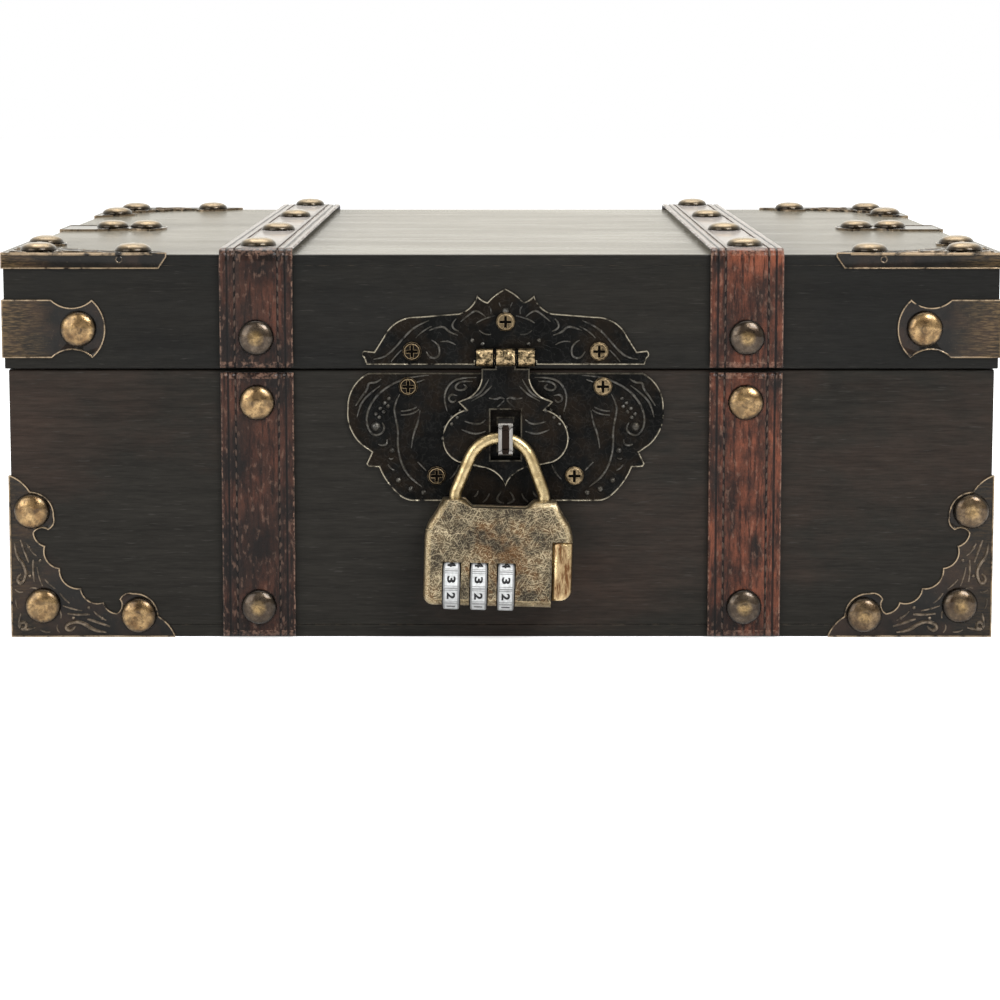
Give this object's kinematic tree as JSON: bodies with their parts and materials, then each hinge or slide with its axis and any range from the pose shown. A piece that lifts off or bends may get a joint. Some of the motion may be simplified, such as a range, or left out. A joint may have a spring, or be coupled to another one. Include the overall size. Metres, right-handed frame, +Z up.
{
  "type": "wooden treasure chest",
  "caption": "Low wooden chest with a hinged lid, leather straps, pressed metal corners, dome nails, a scrolled hasp and a hanging combination padlock.",
  "frame": {"origin": "middle of the chest's underside, on the surface it stands on", "axes": "+X to the right along the front, +Y to the back, +Z up"},
  "size_m": [0.2746, 0.22, 0.1094],
  "materials": {
    "wood": "near-black stained wood with a fine grain",
    "lid_wood": "near-black stained wood, waxed to a soft shine",
    "leather": "worn reddish-brown leather with stitched edges",
    "dark_bronze": "dark antique bronze with rubbed bright edges",
    "nail_brass": "hammered antique brass",
    "screw_brass": "dull brass",
    "worn_brass": "rubbed brass",
    "polished_steel": "polished",
    "padlock_wire": "rubbed antique brass",
    "antique_brass": "scratched antique brass",
    "spindle_steel": "turned steel",
    "white_dial": "white with dark numerals"
  },
  "bodies": {
    "base": {"base_back_board": "wood", "base_bottom_panel": "wood", "base_corner_back_left": "dark_bronze", "base_corner_back_right": "dark_bronze", "base_corner_front_left": "dark_bronze", "base_corner_front_right": "dark_bronze", "base_corner_nails": "nail_brass", "base_front_board": "wood", "base_left_board": "wood", "base_right_board": "wood", "base_strap_back_left": "leather", "base_strap_back_right": "leather", "base_strap_front_left": "leather", "base_strap_front_right": "leather", "base_strap_nails": "nail_brass", "hasp_lower_plate": "dark_bronze", "hasp_lower_screws": "screw_brass", "hasp_staple": "polished_steel", "hinge_base_screws": "screw_brass", "hinge_left_base_leaf": "dark_bronze", "hinge_pins": "worn_brass", "hinge_right_base_leaf": "dark_bronze"},
    "lid": {"hasp_pin": "worn_brass", "hasp_upper_plate": "dark_bronze", "hasp_upper_screws": "screw_brass", "hinge_left_lid_leaf": "dark_bronze", "hinge_lid_screws": "screw_brass", "hinge_right_lid_leaf": "dark_bronze", "lid_back_board": "wood", "lid_band_back_left": "dark_bronze", "lid_band_back_right": "dark_bronze", "lid_band_front_left": "dark_bronze", "lid_band_front_right": "dark_bronze", "lid_band_nails": "nail_brass", "lid_corner_back_left": "dark_bronze", "lid_corner_back_right": "dark_bronze", "lid_corner_front_left": "dark_bronze", "lid_corner_front_right": "dark_bronze", "lid_corner_nails": "nail_brass", "lid_front_board": "wood", "lid_left_board": "wood", "lid_right_board": "wood", "lid_side_band_left": "dark_bronze", "lid_side_band_right": "dark_bronze", "lid_strap_left": "leather", "lid_strap_nails": "nail_brass", "lid_strap_right": "leather", "lid_top_panel": "lid_wood"},
    "hasp": {"hasp_flap": "dark_bronze"},
    "shackle": {"padlock_shackle": "padlock_wire"},
    "lock_body": {"padlock_back_shell": "antique_brass", "padlock_front_shell": "antique_brass"},
    "release": {"padlock_release_slider": "antique_brass", "padlock_spindle": "spindle_steel"},
    "dial_left": {"padlock_dial_left": "white_dial"},
    "dial_middle": {"padlock_dial_middle": "white_dial"},
    "dial_right": {"padlock_dial_right": "white_dial"}
  },
  "joints": [
    {"name": "lid_hinge", "type": "hinge", "parent": "base", "child": "lid", "pos_m": [0, 0.1023, 0.07395], "axis": [-1, 0, 0], "range_deg": [0, 110]},
    {"name": "hasp_hinge", "type": "hinge", "parent": "lid", "child": "hasp", "pos_m": [0.0011, -0.1035, 0.0777], "axis": [-1, 0, 0], "range_deg": [0, 170]},
    {"name": "padlock_swing", "type": "hinge", "parent": "base", "child": "shackle", "pos_m": [0.0011, -0.1045, 0.0559], "axis": [-1, 0, 0], "range_deg": [0, 70]},
    {"name": "padlock_drop", "type": "slide", "parent": "shackle", "child": "lock_body", "axis": [-0.0244, -0.0871, -0.9959], "range_m": [0, 0.0077]},
    {"name": "release_pull", "type": "slide", "parent": "lock_body", "child": "release", "axis": [0.9997, -0.0021, -0.0243], "range_m": [0, 0.002], "stiffness_N_per_m": 150},
    {"name": "dial_left_turn", "type": "hinge", "parent": "lock_body", "child": "dial_left", "pos_m": [-0.01345, -0.10787, 0.01739], "axis": [0.9997, -0.0021, -0.0243], "continuous": true},
    {"name": "dial_middle_turn", "type": "hinge", "parent": "lock_body", "child": "dial_middle", "pos_m": [-0.00612, -0.10788, 0.01721], "axis": [0.9997, -0.0021, -0.0243], "continuous": true},
    {"name": "dial_right_turn", "type": "hinge", "parent": "lock_body", "child": "dial_right", "pos_m": [0.00121, -0.1079, 0.01703], "axis": [0.9997, -0.0021, -0.0243], "continuous": true}
  ]
}
